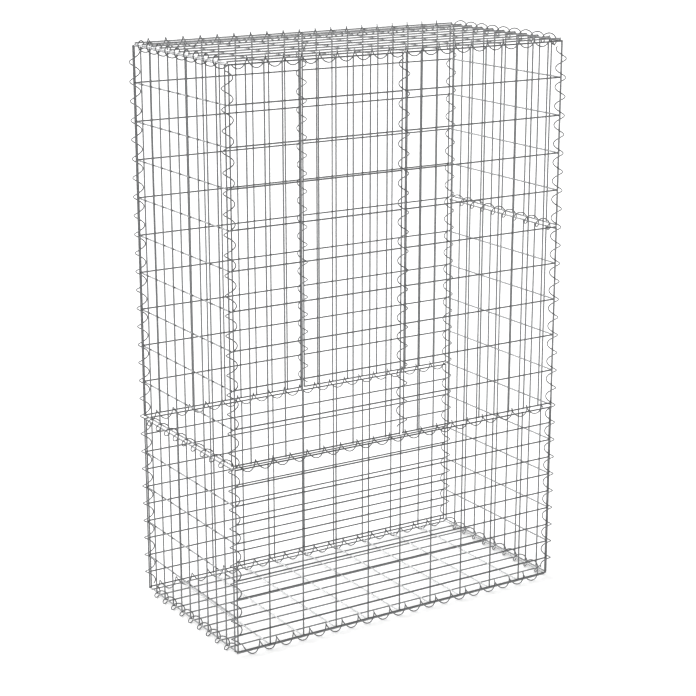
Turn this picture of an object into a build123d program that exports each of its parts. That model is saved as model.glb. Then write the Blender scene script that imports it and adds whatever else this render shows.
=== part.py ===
from build123d import *
import os
from math import cos, pi, sin, sqrt

# Basket, between the planes of its panels, in millimetres
width = 1000
depth = 500
height = 1500
tier = 500
base_height = 10.75

# Welded mesh
mesh_wire = 3.5
close_step = 50
open_step = 100
edge_inset = 5.5

# Lacing spirals
coil_wire = 3.0
coil_outside = 26
coil_pitch = 50
coil_facets = 8
end_clearance = 14
seat_edge = 2.72
seat_end = 5.86
seat_flat = 1.12
seat_corner = 1.12

# A square bar has the same section area as the round wire that it stands for
bar_per_wire = sqrt(pi) / 2
mesh_bar = mesh_wire * bar_per_wire
coil_bar = coil_wire * bar_per_wire
coil_radius = (coil_outside - coil_wire) / 2

# Planes that the panels lie in
left_x = -width / 2
right_x = width / 2
front_y = -depth / 2
back_y = depth / 2
base_z = base_height
waist_z = base_z + tier
shoulder_z = base_z + 2 * tier
lid_z = base_z + height

OUT_LEFT = Vector(-1, 0, 0)
OUT_RIGHT = Vector(1, 0, 0)
OUT_FRONT = Vector(0, -1, 0)
OUT_BACK = Vector(0, 1, 0)
UP = Vector(0, 0, 1)
DOWN = Vector(0, 0, -1)
ALONG_X = Vector(1, 0, 0)
ALONG_Y = Vector(0, 1, 0)

RIGHT_HAND = 1
LEFT_HAND = -1

os.makedirs("parts", exist_ok=True)


def wire_places(span, step):
    """Places of the wires across a span: an edge wire set in at each end, the rest at whole steps."""
    edge = span / 2 - edge_inset
    inner = [-span / 2 + step * i for i in range(1, round(span / step))]
    return [-edge] + inner + [edge]


def mesh_panel(name, centre, outward, long_way, length, breadth):
    """Weld short wires across the inner face of a row of long wires, flush at all four edges."""
    face = Plane(origin=centre, x_dir=long_way, z_dir=outward)
    long_wire = length - 2 * edge_inset + mesh_bar
    short_wire = breadth - 2 * edge_inset + mesh_bar
    with BuildPart() as panel:
        with BuildSketch(face):
            with Locations(*[(0, place) for place in wire_places(breadth, close_step)]):
                Rectangle(long_wire, mesh_bar)
        extrude(amount=mesh_bar)
        with BuildSketch(face):
            with Locations(*[(place, 0) for place in wire_places(length, open_step)]):
                Rectangle(mesh_bar, short_wire)
        extrude(amount=-mesh_bar)
    panel.part.label = name
    export_step(panel.part, f"parts/{name}.step")


def lacing_spiral(name, centre, outward, along, length, hand):
    """Carry a square bar along a helix about a seam.

    Each turn is outermost beside a cross wire and innermost halfway between two, so it passes through the
    middle of the meshes on both sides of the seam.
    """
    seam = Plane(origin=centre, x_dir=outward, z_dir=along)
    rise = coil_pitch / coil_facets
    steps = int((length / 2 - end_clearance) / rise)
    turning = [hand * 2 * pi * i / coil_facets for i in range(-steps, steps + 1)]
    route = [
        (coil_radius * cos(angle), coil_radius * sin(angle), hand * angle / (2 * pi) * coil_pitch)
        for angle in turning
    ]
    with BuildPart() as coil:
        with BuildLine(seam) as helix:
            Polyline(*route)
        with BuildSketch(Plane(origin=helix.line @ 0, z_dir=helix.line % 0)):
            Rectangle(coil_bar, coil_bar)
        sweep(path=helix.line, transition=Transition.RIGHT)
    coil.part.label = name
    export_step(coil.part, f"parts/{name}.step")


# Base and lid
mesh_panel("base_panel", (0, 0, base_z), DOWN, ALONG_X, width, depth)
mesh_panel("lid_panel", (0, 0, lid_z), UP, ALONG_X, width, depth)

# Front and back: a long panel below, two upright panels side by side above
for side, y, outward in (("front", front_y, OUT_FRONT), ("back", back_y, OUT_BACK)):
    mesh_panel(f"{side}_lower_panel", (0, y, base_z + tier / 2), outward, ALONG_X, width, tier)
    upper_z = waist_z + tier
    mesh_panel(f"{side}_upper_left_panel", (-tier / 2, y, upper_z), outward, UP, 2 * tier, tier)
    mesh_panel(f"{side}_upper_right_panel", (tier / 2, y, upper_z), outward, UP, 2 * tier, tier)

# Ends: a square panel and an upright one, the other way up on the right
mesh_panel("left_lower_panel", (left_x, 0, base_z + tier / 2), OUT_LEFT, UP, tier, depth)
mesh_panel("left_upper_panel", (left_x, 0, waist_z + tier), OUT_LEFT, UP, 2 * tier, depth)
mesh_panel("right_lower_panel", (right_x, 0, base_z + tier), OUT_RIGHT, UP, 2 * tier, depth)
mesh_panel("right_upper_panel", (right_x, 0, shoulder_z + tier / 2), OUT_RIGHT, UP, tier, depth)

# Upright corners, each drawn outwards until it bears on the edge wires
corners = (
    ("front_left", left_x, front_y, OUT_LEFT + OUT_FRONT, RIGHT_HAND),
    ("front_right", right_x, front_y, OUT_RIGHT + OUT_FRONT, LEFT_HAND),
    ("back_left", left_x, back_y, OUT_LEFT + OUT_BACK, RIGHT_HAND),
    ("back_right", right_x, back_y, OUT_RIGHT + OUT_BACK, LEFT_HAND),
)
for corner, x, y, outward, hand in corners:
    axis = Vector(x, y, base_z + height / 2) + outward.normalized() * seat_corner
    lacing_spiral(f"{corner}_corner_spiral", axis, outward, UP, height, hand)

# Top and bottom edges, hung on the lid's edge wires and stood under the base's
edges = (
    ("front", (0, front_y), OUT_FRONT, ALONG_X, width, seat_edge, LEFT_HAND),
    ("back", (0, back_y), OUT_BACK, ALONG_X, width, seat_edge, LEFT_HAND),
    ("left", (left_x, 0), OUT_LEFT, ALONG_Y, depth, seat_end, RIGHT_HAND),
    ("right", (right_x, 0), OUT_RIGHT, ALONG_Y, depth, seat_end, LEFT_HAND),
)
for side, (x, y), outward, along, length, seat, top_hand in edges:
    lacing_spiral(f"{side}_top_spiral", (x, y, lid_z - seat), outward + UP, along, length, top_hand)
    lacing_spiral(f"{side}_bottom_spiral", (x, y, base_z + seat), outward + DOWN, along, length, LEFT_HAND)

# Level seams, hung on the edge wires of the panels above
for side, (x, y), outward, along, length, seat, top_hand in edges:
    seam_z = shoulder_z if side == "right" else waist_z
    lacing_spiral(f"{side}_waist_spiral", (x, y, seam_z - seat_flat), outward, along, length, LEFT_HAND)

# Upright seams in the middle of the front and back
for side, y, outward in (("front", front_y, OUT_FRONT), ("back", back_y, OUT_BACK)):
    lacing_spiral(f"{side}_centre_spiral", (seat_flat, y, waist_z + tier), outward, UP, 2 * tier, LEFT_HAND)
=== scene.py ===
import math

import bpy
import numpy as np
from bpy.props import FloatProperty, FloatVectorProperty, IntProperty, PointerProperty
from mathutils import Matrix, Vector


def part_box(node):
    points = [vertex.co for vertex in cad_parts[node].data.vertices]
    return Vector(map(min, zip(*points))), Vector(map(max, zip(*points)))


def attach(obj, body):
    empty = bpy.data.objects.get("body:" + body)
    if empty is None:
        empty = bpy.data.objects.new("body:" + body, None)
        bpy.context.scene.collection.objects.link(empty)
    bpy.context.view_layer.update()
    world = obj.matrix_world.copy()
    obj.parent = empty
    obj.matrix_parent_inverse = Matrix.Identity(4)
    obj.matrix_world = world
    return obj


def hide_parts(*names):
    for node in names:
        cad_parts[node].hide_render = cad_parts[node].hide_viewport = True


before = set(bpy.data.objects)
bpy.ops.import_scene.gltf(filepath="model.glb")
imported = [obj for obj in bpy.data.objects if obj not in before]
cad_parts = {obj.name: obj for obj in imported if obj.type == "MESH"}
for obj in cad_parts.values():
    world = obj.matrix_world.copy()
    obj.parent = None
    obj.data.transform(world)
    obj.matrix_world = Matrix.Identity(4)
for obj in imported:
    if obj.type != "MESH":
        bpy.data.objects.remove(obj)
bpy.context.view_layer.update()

bl_info = {
    "name": "Gabion Basket",
    "version": (1, 0, 0),
    "blender": (4, 5, 0),
    "location": "View3D > Sidebar > Gabion",
    "description": "Dresses an empty gabion basket: welded mesh panels laced together by wire spirals",
    "category": "Add Mesh",
}

ROOT = "root"

X, Y, Z = np.eye(3)

# Each panel's outward direction and the direction of its long wires
PANEL_WAYS = {
    "base_panel": (-Z, X),
    "lid_panel": (Z, X),
    "front_lower_panel": (-Y, X),
    "front_upper_left_panel": (-Y, Z),
    "front_upper_right_panel": (-Y, Z),
    "back_lower_panel": (Y, X),
    "back_upper_left_panel": (Y, Z),
    "back_upper_right_panel": (Y, Z),
    "left_lower_panel": (-X, Z),
    "left_upper_panel": (-X, Z),
    "right_lower_panel": (X, Z),
    "right_upper_panel": (X, Z),
}

# Panels with a lighter copy of the zinc: painted light on the level base and lid
PAINTED_LIGHT_PANELS = ("base_panel", "lid_panel")

# Material numbers on a piece
ZINC, CUT_END = range(2)

# Each spiral's hand: 1 turns as a common screw does, -1 the other way
RIGHT_HAND = 1
LEFT_HAND = -1
SPIRAL_HANDS = {
    "front_left_corner_spiral": RIGHT_HAND,
    "front_right_corner_spiral": LEFT_HAND,
    "back_left_corner_spiral": RIGHT_HAND,
    "back_right_corner_spiral": LEFT_HAND,
    "front_top_spiral": LEFT_HAND,
    "back_top_spiral": LEFT_HAND,
    "left_top_spiral": RIGHT_HAND,
    "right_top_spiral": LEFT_HAND,
    "front_bottom_spiral": LEFT_HAND,
    "back_bottom_spiral": LEFT_HAND,
    "left_bottom_spiral": LEFT_HAND,
    "right_bottom_spiral": LEFT_HAND,
    "front_waist_spiral": LEFT_HAND,
    "back_waist_spiral": LEFT_HAND,
    "left_waist_spiral": LEFT_HAND,
    "right_waist_spiral": LEFT_HAND,
    "front_centre_spiral": LEFT_HAND,
    "back_centre_spiral": LEFT_HAND,
}

# A cut end narrows to this share of the wire over this share of its radius
CUT_SHARE = 0.8
CUT_LENGTH = 0.3

# Heights of the rings of a weld bead, in half heights, and the least and most swell of a bead
BEAD_HEIGHTS = np.array((-0.97, -0.7, -0.25, 0.25, 0.7, 0.97))
BEAD_SWELL = (0.88, 1.12)

# Number of sine waves in a spiral's stray, and their least and most radians in one pitch
STRAY_WAVES = 3
STRAY_RATES = (0.7, 2.3)

# Points within this share of a turn from the end of a plain spiral are its end section
END_SHARE = 0.1

# A spiral whose axis is closer than this to a panel's middle plane, in metres, laces that panel
SEAM_NEAR = 0.02

# Zinc coat: crystals in a metre on each kind of wire
MESH_SPANGLE = 420
SPIRAL_SPANGLE = 520

# Zinc coat: shares of clouds, crystals and the wire's own tone in its brightness
CLOUD_SHARE = 0.5
CRYSTAL_SHARE = 0.28
TONE_SHARE = 0.22

# Zinc coat: noise of its clouds and of its skin, and the skin's bumps, with their height in metres
CLOUD_NOISE = {"Scale": 38, "Detail": 5, "Roughness": 0.62}
SKIN_NOISE = {"Scale": 900, "Detail": 3}
SKIN_BUMP = {"Strength": 0.22, "Distance": 0.0004}

# Zinc coat: roughness where it is dull and where it is bright, and how metallic it is
DULL_ROUGHNESS = 0.42
BRIGHT_ROUGHNESS = 0.24
ZINC_METALLIC = 0.9

# Cut steel: noise of its grain, and the share of its colour that is left in the grain's hollows
GRAIN_NOISE = {"Scale": 1600, "Detail": 2}
GRAIN_SHADOW = 0.6

# Cut steel: how metallic and how rough it is
STEEL_METALLIC = 0.7
STEEL_ROUGHNESS = 0.6

# Cosine of the angle from the shaded way at which the surround starts to dim
SHADE_START = 0.5

# Distance of the key light from the origin, in lengths of its direction
KEY_DISTANCE = 5

# Width of the camera's film in millimetres
FILM_WIDTH = 36


def length(name, description, default):
    """A property that holds a length in metres."""
    return FloatProperty(
        name=name, description=description, default=default, unit="LENGTH", precision=4
    )


def colour(name, description, default):
    """A property that holds a colour."""
    return FloatVectorProperty(
        name=name, description=description, default=default, subtype="COLOR", min=0, max=1
    )


class MeshWireSettings(bpy.types.PropertyGroup):
    """Sizes of the welded mesh."""

    wire: length("Wire", "Diameter of the mesh wire", 0.004)
    close_step: length("Close step", "Distance between long wires", 0.05)
    open_step: length("Open step", "Distance between short wires", 0.1)
    edge_inset: length("Edge inset", "How far an edge wire stands in from the seam line", 0.0055)
    bead: length("Weld bead", "Radius of the weld at a crossing", 0.0026)
    bead_height: length("Bead height", "Half height of a weld", 0.0011)
    sides: IntProperty(name="Sides", description="Facets round a wire", default=14, min=6)
    bead_sides: IntProperty(name="Bead sides", description="Facets round a weld", default=9, min=5)
    seed: IntProperty(name="Seed", description="Start of the random draws", default=7)


class SpiralSettings(bpy.types.PropertyGroup):
    """Sizes of the lacing spirals."""

    wire: length("Wire", "Diameter of the spiral's wire", 0.003)
    radius: length("Radius", "Radius of the wire's middle line", 0.0135)
    inset: length("Inset", "How far the axis runs inside two panels that meet at an edge", 0.00275)
    pitch: length("Pitch", "Rise of one turn", 0.05)
    end_trim: length("End trim", "How far each end stops short of the plain spiral's", 0.0025)
    wander: length("Wander", "How far a turn strays from round", 0.0003)
    stations: IntProperty(name="Stations", description="Rings in one turn", default=24, min=8)
    sides: IntProperty(name="Sides", description="Facets round the wire", default=10, min=6)
    seed: IntProperty(name="Seed", description="Start of the random draws", default=11)


class FinishSettings(bpy.types.PropertyGroup):
    """Colours of the galvanised wire, with painted light on the base and lid."""

    mesh_dull: colour("Dull mesh", "Colour of dull zinc on the mesh", (0.11, 0.113, 0.118))
    mesh_bright: colour("Bright mesh", "Colour of bright zinc on the mesh", (0.22, 0.223, 0.226))
    # Zinc of the base and lid, lightened as painted light: a lit copy of the mesh zinc
    level_dull_painted_light: colour(
        "Dull base and lid", "Colour of dull zinc on the base and lid", (0.22, 0.224, 0.228)
    )
    level_bright_painted_light: colour(
        "Bright base and lid", "Colour of bright zinc on the base and lid", (0.4, 0.404, 0.408)
    )
    spiral_dull: colour("Dull spiral", "Colour of dull zinc on the spirals", (0.07, 0.073, 0.077))
    spiral_bright: colour("Bright spiral", "Colour of bright zinc on the spirals", (0.17, 0.174, 0.178))
    cut_steel: colour("Cut steel", "Colour of a cut wire end", (0.2, 0.19, 0.18))


class StageSettings(bpy.types.PropertyGroup):
    """Camera, floor and lights."""

    camera_place: FloatVectorProperty(
        name="Camera",
        description="Place of the camera",
        subtype="TRANSLATION",
        default=(-2.5383, -4.0148, 2.0095),
    )
    heading: FloatProperty(
        name="Heading", description="Camera's turn to the right of +Y", subtype="ANGLE", default=0.5626
    )
    dip: FloatProperty(
        name="Dip", description="Camera's tilt below level", subtype="ANGLE", default=0.2713
    )
    lens: FloatProperty(name="Lens", description="Focal length", unit="CAMERA", default=94.35)
    floor_size: length("Floor", "Width of the floor", 160.0)
    floor_colour: colour("Floor colour", "Colour of the floor", (0.93, 0.93, 0.93))
    floor_glow: FloatProperty(
        name="Floor glow",
        description="Light that the floor itself gives, as a light table does",
        default=0.4,
    )
    level_light: FloatProperty(
        name="Level light", description="Strength of the surround at the horizon", default=1.02
    )
    overhead_light: FloatProperty(
        name="Overhead light", description="Strength of the surround overhead", default=0.7
    )
    shade_way: FloatVectorProperty(
        name="Shaded way",
        description="Direction of the shaded side of the surround",
        subtype="DIRECTION",
        default=(0.45, -0.15, 0.88),
    )
    shade_share: FloatProperty(
        name="Shaded share",
        description="Share of the surround that is left on its shaded side",
        default=0.1,
    )
    key_light: FloatProperty(name="Key light", description="Strength of the key light", default=3.2)
    key_way: FloatVectorProperty(
        name="Key way",
        description="Direction in which the key light shines",
        subtype="DIRECTION",
        default=(0.35, -0.75, -0.55),
    )
    key_spread: FloatProperty(
        name="Key spread", description="Width of the key light", subtype="ANGLE", default=0.9
    )


class BasketSettings(bpy.types.PropertyGroup):
    """All settings of the basket."""

    mesh: PointerProperty(type=MeshWireSettings, name="Mesh", description="Welded mesh")
    spiral: PointerProperty(type=SpiralSettings, name="Spirals", description="Lacing spirals")
    finish: PointerProperty(type=FinishSettings, name="Finish", description="Galvanised wire")
    stage: PointerProperty(type=StageSettings, name="Stage", description="Camera, floor and lights")


def carried_circle(centres, normals, binormals, radii, sides):
    """Circles carried along paths.

    The point at station s and turn t is
    centre(s) + radius(s) * (cos t * normal(s) + sin t * binormal(s)).
    The arrays are indexed by path, station, turn and coordinate.
    """
    turn = 2 * np.pi * np.arange(sides) / sides
    across = np.cos(turn)[:, None] * normals[..., None, :]
    over = np.sin(turn)[:, None] * binormals[..., None, :]
    return centres[..., None, :] + radii[..., None, None] * (across + over)


def carried_faces(paths, stations, sides, first):
    """Side faces and end caps of carried circles, all facing outwards."""
    here = first + np.arange(paths * stations * sides).reshape(paths, stations, sides)
    beside = np.roll(here, -1, axis=2)
    corners = (here[:, :-1], beside[:, :-1], beside[:, 1:], here[:, 1:])
    side_faces = np.stack(corners, axis=-1).reshape(-1, 4)
    caps = np.concatenate((here[:, 0, ::-1], here[:, -1]))
    return side_faces, caps


def mesh_object(name, points, tones, face_groups):
    """One mesh object from points and a tone for each.

    Its faces come in groups, each with a material number and whether it is smooth.
    """
    corners = np.concatenate([faces.ravel() for faces, _, _ in face_groups])
    sizes = np.concatenate([np.full(len(faces), faces.shape[1]) for faces, _, _ in face_groups])
    numbers = np.concatenate([np.full(len(faces), number) for faces, number, _ in face_groups])
    smooth = np.concatenate([np.full(len(faces), soft) for faces, _, soft in face_groups])
    mesh = bpy.data.meshes.new(name)
    mesh.vertices.add(len(points))
    mesh.vertices.foreach_set("co", points.astype(np.float32).ravel())
    mesh.loops.add(len(corners))
    mesh.loops.foreach_set("vertex_index", corners.astype(np.int32))
    mesh.polygons.add(len(sizes))
    mesh.polygons.foreach_set("loop_start", (np.cumsum(sizes) - sizes).astype(np.int32))
    mesh.polygons.foreach_set("material_index", numbers.astype(np.int32))
    mesh.polygons.foreach_set("use_smooth", smooth)
    mesh.update(calc_edges=True)
    if mesh.validate():
        raise RuntimeError(f"{name} has faces that can't be used")
    tone = mesh.attributes.new("tone", "FLOAT", "POINT")
    tone.data.foreach_set("value", tones.astype(np.float32))
    piece = bpy.data.objects.new(name, mesh)
    bpy.context.scene.collection.objects.link(piece)
    return piece


def wire_object(name, families):
    """One mesh object from families of carried circles.

    A family is its points, a tone for each path and station, and whether its caps are cut ends.
    Cut ends are flat and have a material of their own, and everything else is smooth.
    """
    points, tones, face_groups = [], [], []
    first = 0
    for tubes, shade, cut in families:
        paths, stations, sides = tubes.shape[:3]
        side_faces, caps = carried_faces(paths, stations, sides, first)
        face_groups += [(side_faces, ZINC, True), (caps, CUT_END if cut else ZINC, not cut)]
        points.append(tubes.reshape(-1, 3))
        tones.append(np.repeat(np.broadcast_to(shade, (paths, stations)).ravel(), sides))
        first += paths * stations * sides
    return mesh_object(name, np.concatenate(points), np.concatenate(tones), face_groups)


def straight_wires(starts, way, run, side_way, radius, sides):
    """Round wires in one direction: a circle carried from each start, chamfered at both cut ends.

    The stations stand at 0, the chamfer, one diameter, and the same from the other end.
    """
    near = np.array((0, CUT_LENGTH * radius, 2 * radius))
    stations = np.concatenate((near, run - near[::-1]))
    shares = np.array((CUT_SHARE, 1, 1, 1, 1, CUT_SHARE))
    centres = starts[:, None, :] + stations[:, None] * way
    normals = np.broadcast_to(side_way, centres.shape)
    binormals = np.broadcast_to(np.cross(way, side_way), centres.shape)
    radii = np.broadcast_to(radius * shares, centres.shape[:2])
    return carried_circle(centres, normals, binormals, radii, sides)


def weld_beads(places, outward, side_way, radii, half_height, sides):
    """Low round beads at the crossings: circles carried outwards through each place.

    At height h, in units of the half height, the radius is the bead's own times the square root
    of 1 - h * h.
    """
    centres = places[:, None, :] + half_height * BEAD_HEIGHTS[:, None] * outward
    normals = np.broadcast_to(side_way, centres.shape)
    binormals = np.broadcast_to(np.cross(outward, side_way), centres.shape)
    ring_radii = radii[:, None] * np.sqrt(1 - BEAD_HEIGHTS**2)
    return carried_circle(centres, normals, binormals, ring_radii, sides)


def wire_places(reach, step, bar, inset):
    """Places of the wires across a panel: an edge wire at each end, and the rest at whole steps."""
    edge = reach - bar / 2
    seam = edge + inset
    count = round(2 * seam / step)
    return np.concatenate(([-edge], step * np.arange(1, count) - seam, [edge]))


def weave_panel(name, outward, long_way, mesh, draw):
    """One welded panel: long wires outside, short wires inside, and a bead at each crossing.

    Each wire keeps the middle line of the plain bar. The wires are thicker than the bars, so they
    sink into each other a little at the crossings, as welded wires do.
    """
    low, high = (np.array(corner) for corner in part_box(name))
    middle = (low + high) / 2
    reach = (high - low) / 2
    short_way = np.cross(outward, long_way)
    bar = reach @ np.abs(outward)
    long_reach = reach @ np.abs(long_way)
    short_reach = reach @ np.abs(short_way)
    rows = wire_places(short_reach, mesh.close_step, bar, mesh.edge_inset)[:, None] * short_way
    columns = wire_places(long_reach, mesh.open_step, bar, mesh.edge_inset)[:, None] * long_way
    lift = bar / 2 * outward
    radius = mesh.wire / 2
    long_starts = middle + lift + rows - long_reach * long_way
    long_wires = straight_wires(long_starts, long_way, 2 * long_reach, outward, radius, mesh.sides)
    short_starts = middle - lift + columns - short_reach * short_way
    short_wires = straight_wires(short_starts, short_way, 2 * short_reach, outward, radius, mesh.sides)
    crossings = (middle + rows[:, None, :] + columns[None, :, :]).reshape(-1, 3)
    swell = mesh.bead * draw.uniform(*BEAD_SWELL, len(crossings))
    beads = weld_beads(crossings, outward, long_way, swell, mesh.bead_height, mesh.bead_sides)
    kinds = ((long_wires, True), (short_wires, True), (beads, False))
    families = [(tubes, draw.uniform(0, 1, (len(tubes), 1)), cut) for tubes, cut in kinds]
    return wire_object(f"{name}_wires", families)


def node_points(name):
    """All corner points of a plain node."""
    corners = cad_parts[name].data.vertices
    flat = np.empty(3 * len(corners))
    corners.foreach_get("co", flat)
    return flat.reshape(-1, 3)


def box_middle(points):
    """The middle of the box round points."""
    return (points.min(axis=0) + points.max(axis=0)) / 2


def panel_planes():
    """Low and high corner of the box between the middle planes of the panels."""
    middles = np.array([box_middle(np.array(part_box(name))) for name in PANEL_WAYS])
    return middles.min(axis=0), middles.max(axis=0)


def coil_middle(middle, spiral):
    """The middle of a coil's axis, from the middle of the plain spiral.

    Where two panels meet at an edge, the axis runs inside both by the inset.
    No turn sinks into the floor.
    """
    low, high = panel_planes()
    at_low = np.abs(middle - low) < SEAM_NEAR
    at_high = np.abs(middle - high) < SEAM_NEAR
    if np.sum(at_low | at_high) == 2:
        inside = np.where(at_low, low + spiral.inset, high - spiral.inset)
        middle = np.where(at_low | at_high, inside, middle)
    reach = spiral.radius + spiral.wire / 2 + spiral.wander
    return np.maximum(middle, (-np.inf, -np.inf, reach))


def wind_spiral(name, hand, spiral, draw):
    """One lacing spiral: a circle carried along a helix, turn for turn with the plain spiral.

    At distance s from the plain spiral's start, the middle line is s along the axis, and out from
    it by the coil's radius at the angle hand * 2 pi * s / pitch from the direction of that start.
    Both ends stop short by the trim. The radius strays by a mean of sines.
    """
    points = node_points(name)
    along = np.eye(3)[np.ptp(points, axis=0).argmax()]
    depth = points @ along
    near = END_SHARE * spiral.pitch
    start = box_middle(points[depth < depth.min() + near])
    end = box_middle(points[depth > depth.max() - near])
    run = (end - start) @ along
    middle = box_middle(points)
    outward = start - middle
    outward -= (outward @ along) * along
    outward /= np.linalg.norm(outward)
    sideways = np.cross(along, outward)
    foot = coil_middle(middle, spiral)
    foot += ((start - foot) @ along) * along
    first, last = spiral.end_trim, run - spiral.end_trim
    rings = round((last - first) / spiral.pitch * spiral.stations) + 1
    chamfer = CUT_LENGTH * spiral.wire / 2
    s = np.concatenate(([first - chamfer], np.linspace(first, last, rings), [last + chamfer]))
    shares = np.ones_like(s)
    shares[[0, -1]] = CUT_SHARE
    rates = draw.uniform(*STRAY_RATES, (STRAY_WAVES, 1))
    offsets = draw.uniform(0, 2 * np.pi, (STRAY_WAVES, 1))
    stray = np.sin(rates * s / spiral.pitch + offsets).mean(axis=0)
    radius = (spiral.radius + spiral.wander * stray)[:, None]
    angle = (hand * 2 * np.pi * s / spiral.pitch)[:, None]
    radial = np.cos(angle) * outward + np.sin(angle) * sideways
    turning = np.cos(angle) * sideways - np.sin(angle) * outward
    centres = foot + s[:, None] * along + radius * radial
    tangents = along + hand * 2 * np.pi * radius / spiral.pitch * turning
    tangents = tangents / np.linalg.norm(tangents, axis=1, keepdims=True)
    binormals = np.cross(tangents, radial)
    tube = carried_circle(
        centres[None], radial[None], binormals[None], spiral.wire / 2 * shares[None], spiral.sides
    )
    return wire_object(f"{name}_wire", [(tube, 0.5 + 0.5 * stray[None], True)])


def node_with(tree, kind, **values):
    """A shader node with the given numbers on its inputs."""
    node = tree.nodes.new(kind)
    for key, value in values.items():
        node.inputs[key.replace("_", " ")].default_value = value
    return node


def blend_colours(tree, factor, first, second):
    """The output of a node that runs from the first colour to the second by a factor."""
    node = tree.nodes.new("ShaderNodeMix")
    node.data_type = "RGBA"
    factor_in, first_in, second_in = (
        next(socket for socket in node.inputs if socket.identifier == key)
        for key in ("Factor_Float", "A_Color", "B_Color")
    )
    first_in.default_value = (*first, 1)
    second_in.default_value = (*second, 1)
    tree.links.new(factor, factor_in)
    return next(socket for socket in node.outputs if socket.identifier == "Result_Color")


def weighted_sum(tree, shares):
    """The output of a chain of nodes that adds up sockets, each times its share."""
    total = None
    for socket, share in shares:
        node = tree.nodes.new("ShaderNodeMath")
        node.operation = "MULTIPLY_ADD"
        tree.links.new(socket, node.inputs[0])
        node.inputs[1].default_value = share
        node.inputs[2].default_value = 0
        if total is not None:
            tree.links.new(total, node.inputs[2])
        total = node.outputs[0]
    return total


def galvanised_wire(name, dull, bright, spangle_scale):
    """Zinc-coated wire: cloudy grey, a fine spangle, a shade for each wire and a rough skin."""
    material = bpy.data.materials.new(name)
    material.use_nodes = True
    tree = material.node_tree
    shader = tree.nodes["Principled BSDF"]
    place = tree.nodes.new("ShaderNodeTexCoord").outputs["Object"]
    clouds = node_with(tree, "ShaderNodeTexNoise", **CLOUD_NOISE)
    spangle = node_with(tree, "ShaderNodeTexVoronoi", Scale=spangle_scale)
    skin = node_with(tree, "ShaderNodeTexNoise", **SKIN_NOISE)
    for texture in (clouds, spangle, skin):
        tree.links.new(place, texture.inputs["Vector"])
    crystal = tree.nodes.new("ShaderNodeSeparateColor")
    tree.links.new(spangle.outputs["Color"], crystal.inputs["Color"])
    tone = tree.nodes.new("ShaderNodeAttribute")
    tone.attribute_name = "tone"
    shares = (
        (clouds.outputs["Fac"], CLOUD_SHARE),
        (crystal.outputs["Red"], CRYSTAL_SHARE),
        (tone.outputs["Fac"], TONE_SHARE),
    )
    brightness = weighted_sum(tree, shares)
    tree.links.new(blend_colours(tree, brightness, dull, bright), shader.inputs["Base Color"])
    polish = node_with(tree, "ShaderNodeMapRange", To_Min=DULL_ROUGHNESS, To_Max=BRIGHT_ROUGHNESS)
    tree.links.new(brightness, polish.inputs["Value"])
    tree.links.new(polish.outputs["Result"], shader.inputs["Roughness"])
    bump = node_with(tree, "ShaderNodeBump", **SKIN_BUMP)
    tree.links.new(skin.outputs["Fac"], bump.inputs["Height"])
    tree.links.new(bump.outputs["Normal"], shader.inputs["Normal"])
    shader.inputs["Metallic"].default_value = ZINC_METALLIC
    return material


def cut_wire_end(name, steel):
    """Bare steel of a cut wire end: dark, with a coarse sheared grain."""
    material = bpy.data.materials.new(name)
    material.use_nodes = True
    tree = material.node_tree
    shader = tree.nodes["Principled BSDF"]
    place = tree.nodes.new("ShaderNodeTexCoord").outputs["Object"]
    shear = node_with(tree, "ShaderNodeTexNoise", **GRAIN_NOISE)
    tree.links.new(place, shear.inputs["Vector"])
    shadow = [GRAIN_SHADOW * part for part in steel]
    grain = blend_colours(tree, shear.outputs["Fac"], shadow, steel)
    tree.links.new(grain, shader.inputs["Base Color"])
    shader.inputs["Metallic"].default_value = STEEL_METALLIC
    shader.inputs["Roughness"].default_value = STEEL_ROUGHNESS
    return material


def stand_for(piece, node, materials):
    """Give a finished piece its materials and let it stand for its node."""
    for material in materials:
        piece.data.materials.append(material)
    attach(piece, ROOT)
    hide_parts(node)


class GABION_OT_panels(bpy.types.Operator):
    """Weave the welded mesh panels."""

    bl_idname = "gabion.panels"
    bl_label = "Welded mesh panels"

    def execute(self, context):
        basket = context.scene.gabion_basket
        finish = basket.finish
        draw = np.random.default_rng(basket.mesh.seed)
        zinc = galvanised_wire(
            "galvanised_mesh_wire", finish.mesh_dull, finish.mesh_bright, MESH_SPANGLE
        )
        # A lit copy of the mesh zinc for the base and lid: painted light, not a different zinc
        level = galvanised_wire(
            "galvanised_wire_painted_light", finish.level_dull_painted_light, finish.level_bright_painted_light, MESH_SPANGLE
        )
        cut = cut_wire_end("cut_mesh_wire", finish.cut_steel)
        for node, (outward, long_way) in PANEL_WAYS.items():
            piece = weave_panel(node, outward, long_way, basket.mesh, draw)
            stand_for(piece, node, (level if node in PAINTED_LIGHT_PANELS else zinc, cut))
        return {"FINISHED"}


class GABION_OT_spirals(bpy.types.Operator):
    """Wind the lacing spirals along the edges and seams."""

    bl_idname = "gabion.spirals"
    bl_label = "Lacing spirals"

    def execute(self, context):
        basket = context.scene.gabion_basket
        finish = basket.finish
        draw = np.random.default_rng(basket.spiral.seed)
        zinc = galvanised_wire(
            "galvanised_spiral_wire", finish.spiral_dull, finish.spiral_bright, SPIRAL_SPANGLE
        )
        cut = cut_wire_end("cut_spiral_wire", finish.cut_steel)
        for node, hand in SPIRAL_HANDS.items():
            piece = wind_spiral(node, hand, basket.spiral, draw)
            stand_for(piece, node, (zinc, cut))
        return {"FINISHED"}


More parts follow.
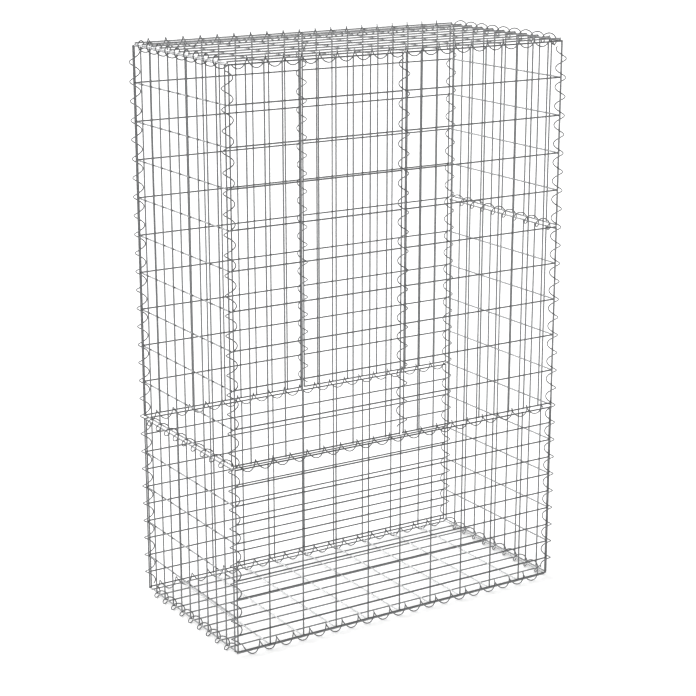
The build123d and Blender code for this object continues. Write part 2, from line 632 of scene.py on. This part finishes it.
def lay_floor(stage):
    """A wide pale floor."""
    half = stage.floor_size / 2
    corners = half * np.array(((-1, -1, 0), (1, -1, 0), (1, 1, 0), (-1, 1, 0)))
    floor = mesh_object("studio_floor", corners, np.zeros(4), [(np.arange(4)[None], 0, False)])
    pale = bpy.data.materials.new("pale_floor")
    pale.use_nodes = True
    shader = pale.node_tree.nodes["Principled BSDF"]
    shader.inputs["Base Color"].default_value = (*stage.floor_colour, 1)
    shader.inputs["Roughness"].default_value = 1
    shader.inputs["Specular IOR Level"].default_value = 0
    shader.inputs["Emission Color"].default_value = (*stage.floor_colour, 1)
    shader.inputs["Emission Strength"].default_value = stage.floor_glow
    floor.data.materials.append(pale)


def light_studio(scene, stage):
    """A white surround, dimmer overhead and on one upper side, and one wide soft key light."""
    world = bpy.data.worlds.new("studio_surround")
    world.use_nodes = True
    tree = world.node_tree
    surround = tree.nodes["Background"]
    surround.inputs["Color"].default_value = (1, 1, 1, 1)
    direction = tree.nodes.new("ShaderNodeTexCoord")
    height = tree.nodes.new("ShaderNodeSeparateXYZ")
    tree.links.new(direction.outputs["Generated"], height.inputs["Vector"])
    fall = node_with(tree, "ShaderNodeMapRange", To_Min=stage.level_light, To_Max=stage.overhead_light)
    tree.links.new(height.outputs["Z"], fall.inputs["Value"])
    facing = tree.nodes.new("ShaderNodeVectorMath")
    facing.operation = "DOT_PRODUCT"
    facing.inputs[1].default_value = Vector(stage.shade_way).normalized()
    tree.links.new(direction.outputs["Generated"], facing.inputs[0])
    shade = node_with(
        tree, "ShaderNodeMapRange", From_Min=SHADE_START, To_Min=1, To_Max=stage.shade_share
    )
    tree.links.new(facing.outputs["Value"], shade.inputs["Value"])
    both = tree.nodes.new("ShaderNodeMath")
    both.operation = "MULTIPLY"
    tree.links.new(fall.outputs["Result"], both.inputs[0])
    tree.links.new(shade.outputs["Result"], both.inputs[1])
    tree.links.new(both.outputs["Value"], surround.inputs["Strength"])
    scene.world = world
    key = bpy.data.lights.new("key_light", "SUN")
    key.energy = stage.key_light
    key.angle = stage.key_spread
    lamp = bpy.data.objects.new("key_light", key)
    lamp.location = -KEY_DISTANCE * Vector(stage.key_way)
    lamp.rotation_euler = Vector(stage.key_way).to_track_quat("-Z", "Y").to_euler()
    scene.collection.objects.link(lamp)
    scene.view_settings.view_transform = "Standard"


def set_camera(scene, stage):
    """The camera at the photograph's place and angle."""
    lens = bpy.data.cameras.new("photo_camera")
    lens.sensor_fit = "HORIZONTAL"
    lens.sensor_width = FILM_WIDTH
    lens.lens = stage.lens
    lens.clip_end = 2 * stage.floor_size
    camera = bpy.data.objects.new("photo_camera", lens)
    level = math.cos(stage.dip)
    aim = Vector(
        (math.sin(stage.heading) * level, math.cos(stage.heading) * level, -math.sin(stage.dip))
    )
    camera.location = stage.camera_place
    camera.rotation_euler = aim.to_track_quat("-Z", "Y").to_euler()
    scene.collection.objects.link(camera)
    scene.camera = camera


class GABION_OT_stage(bpy.types.Operator):
    """Lay the floor and set the lights and the camera."""

    bl_idname = "gabion.stage"
    bl_label = "Stage"

    def execute(self, context):
        stage = context.scene.gabion_basket.stage
        lay_floor(stage)
        light_studio(context.scene, stage)
        set_camera(context.scene, stage)
        return {"FINISHED"}


class GABION_PT_basket(bpy.types.Panel):
    """Settings and steps of the gabion basket."""

    bl_idname = "GABION_PT_basket"
    bl_label = "Gabion Basket"
    bl_space_type = "VIEW_3D"
    bl_region_type = "UI"
    bl_category = "Gabion"

    def draw(self, context):
        basket = context.scene.gabion_basket
        for group in (basket.mesh, basket.spiral, basket.finish, basket.stage):
            box = self.layout.box()
            for key in group.__annotations__:
                box.prop(group, key)
        for step in STEPS:
            self.layout.operator(step.bl_idname)


STEPS = (GABION_OT_panels, GABION_OT_spirals, GABION_OT_stage)
SETTINGS = (MeshWireSettings, SpiralSettings, FinishSettings, StageSettings, BasketSettings)
CLASSES = (*SETTINGS, *STEPS, GABION_PT_basket)


def register():
    """Register the classes and put the settings on the scene."""
    for each in CLASSES:
        bpy.utils.register_class(each)
    bpy.types.Scene.gabion_basket = PointerProperty(
        type=BasketSettings, name="Gabion basket", description="Settings of the gabion basket"
    )


def unregister():
    """Take the settings off the scene and unregister the classes."""
    del bpy.types.Scene.gabion_basket
    for each in reversed(CLASSES):
        bpy.utils.unregister_class(each)


def main():
    """Dress the basket."""
    register()
    bpy.ops.gabion.panels()
    bpy.ops.gabion.spirals()
    bpy.ops.gabion.stage()


if __name__ == "__main__":
    main()
